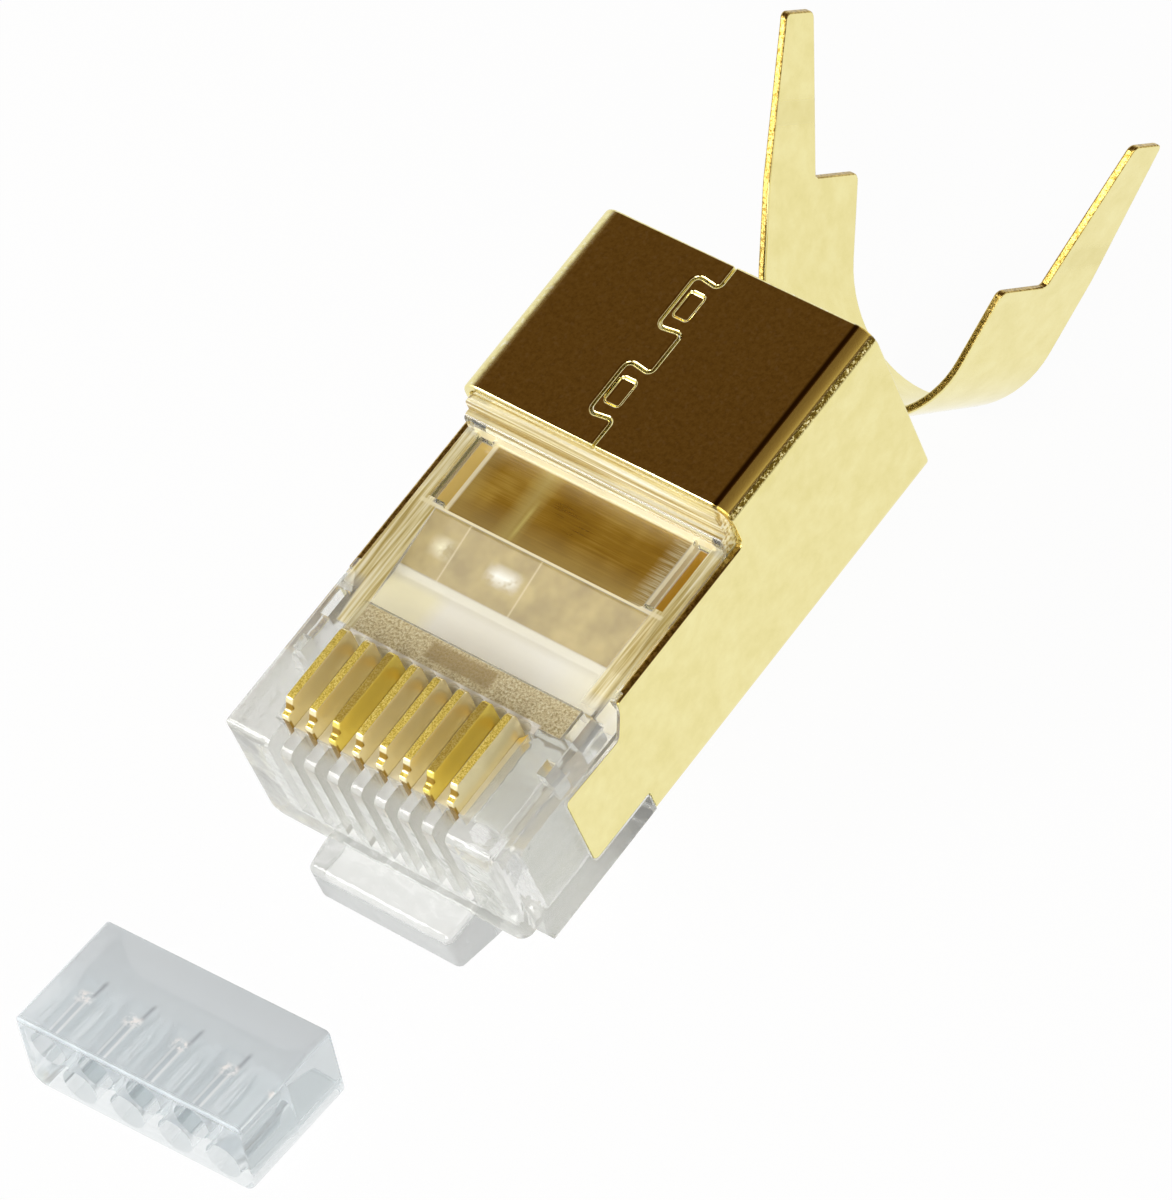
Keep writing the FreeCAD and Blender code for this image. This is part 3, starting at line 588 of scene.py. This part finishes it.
def dressed_copy(node, name, body, finish, edge=0.05, sheared=None, clamp=True, corners=None):
    """The node's own surface with its triangles joined, its curved faces smooth and its sharp edges broken by
    edge mm."""
    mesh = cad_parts[node].data.copy()
    mesh.name = name
    joined = bmesh.new()
    joined.from_mesh(mesh)
    bmesh.ops.remove_doubles(joined, verts=joined.verts, dist=2e-7)
    bmesh.ops.dissolve_limit(joined, angle_limit=radians(0.4), verts=joined.verts, edges=joined.edges)
    if corners is not None:
        round_corners(joined, corners, 0.26)
    joined.to_mesh(mesh)
    joined.free()
    if sheared is not None:
        mark_sheared(mesh, sheared)
    piece = finish_piece(mesh, name, body, node, finish)
    broken = piece.modifiers.new("broken_edges", "BEVEL")
    broken.width = edge * MM
    broken.segments = 3
    broken.limit_method = "ANGLE"
    broken.angle_limit = radians(40)
    broken.use_clamp_overlap = clamp
    weighted = piece.modifiers.new("even_shading", "WEIGHTED_NORMAL")
    weighted.keep_sharp = True


def rounded_outline(half_wide, low, high, upper, lower, steps=8):
    """X and Z round a rectangle: four quarter circles of steps + 1 points, one after another, with one radius
    at its upper corners and another at its lower ones."""
    turn = np.linspace(0.0, pi / 2, steps + 1)[None, :] + (pi / 2) * np.arange(4)[:, None]
    radius = np.array([upper, upper, lower, lower])
    signs = np.array([(1, 1), (-1, 1), (-1, -1), (1, -1)])
    reach = np.array([(half_wide, high), (half_wide, high), (half_wide, -low), (half_wide, -low)])
    middles = signs * (reach - radius[:, None])
    arcs = radius[:, None, None] * np.stack([np.cos(turn), np.sin(turn)], -1)
    return (middles[:, None, :] + arcs).reshape(-1, 2)


def swept_solid(rings, stations):
    """Closed solid: ring i of X and Z values stands at station i along Y, quads join it to the next ring,
    and one many-sided face closes each end. Gives vertices and faces."""
    rings = np.asarray(rings)
    count, around = rings.shape[:2]
    y = np.repeat(np.asarray(stations, float), around)
    points = np.stack([rings[..., 0].ravel(), y, rings[..., 1].ravel()], 1)
    here = np.arange(around)
    ahead = (here + 1) % around
    steps = np.arange(count - 1)[:, None] * around
    near, far = steps + here, steps + ahead
    quads = np.stack([near, near + around, far + around, far], -1).reshape(-1, 4)
    return points, quads.tolist() + [here.tolist(), (here[::-1] + (count - 1) * around).tolist()]


def plain_object(name, solids):
    """One object from several solids, each given as vertices and faces."""
    points, faces, start = [], [], 0
    for vertices, corners in solids:
        points.append(vertices)
        faces += [[start + corner for corner in face] for face in corners]
        start += len(vertices)
    mesh = bpy.data.meshes.new(name)
    mesh.from_pydata(np.concatenate(points).tolist(), [], faces)
    made = bpy.data.objects.new(name, mesh)
    bpy.context.scene.collection.objects.link(made)
    return made


def load_bar(finish):
    """Block swept along Y from a rounded rectangle that shrinks at both ends by a quarter circle; a rounded
    mouth and eight wire holes, each a circle that widens into a funnel, are cut out of it."""
    side, high, edge, wall, beyond = 4.76, 3.26, 0.06, 0.34, 6.0
    turn = np.linspace(0.0, pi / 2, 4)
    inset = np.concatenate([edge * (1 - np.sin(turn)), edge * (1 - np.cos(turn))])
    along = np.concatenate([edge * (1 - np.cos(turn)), BAR_LONG - edge * (1 - np.sin(turn))])
    block = swept_solid([rounded_outline(side - i, i, high - i, 0.2 - i, 0.55 - i) for i in inset], along)
    ring = rounded_outline(side - wall, wall, high - wall, 0.6, 0.6)
    mouth = swept_solid([ring] * 2, (MOUTH_FRONT, beyond))
    circle = np.linspace(0.0, 2 * pi, 33)[:-1]
    rim = np.stack([np.cos(circle), np.sin(circle)], 1)
    holes = []
    for i in range(4):
        for aside, middle in ((-CONTACT_PITCH / 2, 2.3), (CONTACT_PITCH / 2, 0.96)):
            centre = np.array((BAR_PITCH * (i - 1.5) + aside, middle))
            stations = (-1.0, MOUTH_FRONT - 0.6, MOUTH_FRONT, MOUTH_FRONT + 0.02)
            holes.append(swept_solid([centre + rim * r for r in (0.71, 0.71, 0.83, 0.83)], stations))
    made = (("bar_block", [block]), ("mouth", [mouth]), ("holes", holes))
    body, mouth, holes = (plain_object(*one) for one in made)
    for cutter in (mouth, holes):
        cut = body.modifiers.new(cutter.name, "BOOLEAN")
        cut.object = cutter
        cut.operation = "DIFFERENCE"
        cut.solver = "EXACT"
    bpy.context.view_layer.update()
    mesh = bpy.data.meshes.new_from_object(body.evaluated_get(bpy.context.evaluated_depsgraph_get()))
    for used in (body, mouth, holes):
        bpy.data.objects.remove(used)
    points = np.empty(3 * len(mesh.vertices))
    mesh.vertices.foreach_get("co", points)
    c, s = cos(BAR_TURN), sin(BAR_TURN)
    x, y, z = points.reshape(-1, 3).T
    placed = np.stack([x * c - y * s, x * s + y * c, z], 1) + (*bar_spot(), 0.0)
    mesh.vertices.foreach_set("co", (placed * MM).ravel())
    finish_piece(mesh, "clear_load_bar", "plug", "load_bar", finish)


def rounded_profile(corners, steps=6):
    """Points round a polygon whose corners are circles of their own radius, touching both of its sides."""
    points = []
    for (y, z, radius), before, after in zip(corners, corners[-1:] + corners[:-1], corners[1:] + corners[:1]):
        here = np.array((y, z))
        back, ahead = (np.array(other[:2]) - here for other in (before, after))
        back, ahead = back / np.linalg.norm(back), ahead / np.linalg.norm(ahead)
        half = np.arccos(np.clip(back @ ahead, -1.0, 1.0)) / 2
        middle = here + (back + ahead) / np.linalg.norm(back + ahead) * radius / np.sin(half)
        touch = radius / np.tan(half)
        start, stop = here + back * touch - middle, here + ahead * touch - middle
        first = np.arctan2(start[1], start[0])
        sweep = (np.arctan2(stop[1], stop[0]) - first + pi) % (2 * pi) - pi
        turn = first + sweep * np.linspace(0.0, 1.0, steps + 1)
        points += list(middle + radius * np.stack([np.cos(turn), np.sin(turn)], 1))
    return np.array(points)


def shrunk(outline, inset):
    """The outline moved inwards by inset, each point along the mean of its two sides' normals."""
    ahead = np.roll(outline, -1, 0) - outline
    ahead /= np.linalg.norm(ahead, axis=1)[:, None]
    mean = ahead + np.roll(ahead, 1, 0)
    mean /= np.linalg.norm(mean, axis=1)[:, None]
    return outline + inset * np.stack([-mean[:, 1], mean[:, 0]], 1)


def contact_blade(node, finish):
    """Stamped blade swept along X from its side view, which shrinks at both faces by a quarter circle: a
    front that leans back below its rounded crown and runs out over a rounded step, and three points below."""
    low, high = (np.array(corner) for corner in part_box(node))
    middle, half, edge = (low[0] + high[0]) / 2 / MM, (high[0] - low[0]) / 2 / MM, 0.04
    front, rear, top, bottom, tip = 0.94, 4.55, BLADE_TOP, 5.2, BLADE_TIP
    profile = [(front, bottom, 0.12)]
    for at in BLADE_POINTS:
        profile += [(at - 0.2, bottom, 0.03), (at, tip, 0.04), (at + 0.2, bottom, 0.03)]
    profile += [(rear, bottom, 0.05), (rear, top, 0.25), (front + 0.47, top, 0.22), (front + 0.3, 6.72, 0.25),
                (front, 6.64, 0.15)]
    outline = rounded_profile(profile)
    turn = np.linspace(0.0, pi / 2, 4)
    inset = np.concatenate([edge * (1 - np.sin(turn)), edge * (1 - np.cos(turn))])
    along = np.concatenate([edge * (1 - np.cos(turn)), 2 * half - edge * (1 - np.sin(turn))]) + middle - half
    points, faces = swept_solid([shrunk(outline, i) for i in inset], along)
    mesh = bpy.data.meshes.new(node)
    mesh.from_pydata(plug_to_row(points[:, [1, 0, 2]]).tolist(), [], [face[::-1] for face in faces])
    mark_sheared(mesh, blade_edges)
    finish_piece(mesh, "gold_" + node, node + "_blade", node, finish)


housing_clear = housing_plastic()
bar_clear = bar_plastic()
shield_gold = shield_plate()
contact_gold = contact_plate()

dressed_copy("housing", "clear_housing", "plug", housing_clear, corners=housing_corners)
dressed_copy("latch_lever", "clear_latch_lever", "latch", housing_clear)
load_bar(bar_clear)
dressed_copy("shield", "folded_shield", "plug", shield_gold, edge=0.08, sheared=shield_edges,
             clamp=False)
for index in range(8):
    contact_blade("contact_%d" % (index + 1), contact_gold)


# --- Studio ------------------------------------------------------------------------
def pale_floor():
    """Flat square of floor, whiter where the eye, a reflection or a refraction meets it."""
    mesh = bpy.data.meshes.new("floor")
    reach = 2.0
    corners = [(-reach, -reach, 0), (reach, -reach, 0), (reach, reach, 0), (-reach, reach, 0)]
    mesh.from_pydata(corners, [], [(0, 1, 2, 3)])
    floor = bpy.data.objects.new("floor", mesh)
    bpy.context.scene.collection.objects.link(floor)
    finish, tree, shader = new_material("pale_floor")
    tree.nodes.remove(shader)
    path = add(tree, "ShaderNodeLightPath").outputs
    seen = compute(tree, "MAXIMUM", path["Is Camera Ray"], path["Is Glossy Ray"])
    seen = compute(tree, "MAXIMUM", seen, path["Is Transmission Ray"])
    share = remap(tree, seen, 0.0, 1.0, 0.0, 0.96)
    matt = add(tree, "ShaderNodeBsdfDiffuse", {"Color": (0.9, 0.9, 0.9, 1.0)}).outputs[0]
    white = add(tree, "ShaderNodeEmission", {"Color": (1.0, 1.0, 1.0, 1.0), "Strength": 1.0}).outputs[0]
    both = add(tree, "ShaderNodeMixShader", {0: share, 1: matt, 2: white}).outputs[0]
    tree.links.new(both, tree.nodes["Material Output"].inputs["Surface"])
    mesh.materials.append(finish)


def studio_sky():
    """World light: white round the horizon, falling to a dark warm ceiling overhead."""
    world = bpy.data.worlds.new("studio")
    bpy.context.scene.world = world
    world.use_nodes = True
    tree = world.node_tree
    direction = add(tree, "ShaderNodeTexCoord").outputs["Generated"]
    height = add(tree, "ShaderNodeSeparateXYZ", {"Vector": direction}).outputs["Z"]
    colour = ramp(tree, height, [(0.0, (1.0, 1.0, 1.0)), (0.35, (1.0, 1.0, 1.0)), (0.6, (0.19, 0.11, 0.04)),
                                 (0.8, (0.115, 0.057, 0.017)), (1.0, (0.06, 0.024, 0.005))])
    tree.links.new(colour, tree.nodes["Background"].inputs["Color"])
    tree.nodes["Background"].inputs["Strength"].default_value = 1.0


def soft_lamp(name, place, size, power):
    """Square lamp at place, in metres, aimed at the plug."""
    data = bpy.data.lights.new(name, "AREA")
    data.shape = "SQUARE"
    data.size = size
    data.energy = power
    lamp = bpy.data.objects.new(name, data)
    lamp.location = place
    lamp.rotation_euler = (Vector((0, 0, 0.005)) - Vector(place)).to_track_quat("-Z", "Y").to_euler()
    bpy.context.scene.collection.objects.link(lamp)


def camera():
    """Long lens from above the plug's right front."""
    data = bpy.data.cameras.new("camera")
    data.sensor_width = 36.0
    data.lens = 279.04
    data.clip_start = 0.01
    eye = bpy.data.objects.new("camera", data)
    eye.location = (0.161136, -0.139339, 0.227075)
    eye.rotation_euler = Euler([radians(a) for a in (43.0799, 9.047, 39.69)], "XYZ")
    bpy.context.scene.collection.objects.link(eye)
    bpy.context.scene.camera = eye


pale_floor()
studio_sky()
soft_lamp("front_lamp", (0.10, -0.22, 0.16), 0.16, 0.44)
soft_lamp("left_lamp", (-0.16, -0.19, 0.17), 0.14, 0.40)
camera()
bpy.context.scene.view_settings.view_transform = "Standard"
bpy.context.scene.cycles.transmission_bounces = 12
bpy.context.scene.cycles.max_bounces = 14
bpy.context.scene.cycles.glossy_bounces = 8
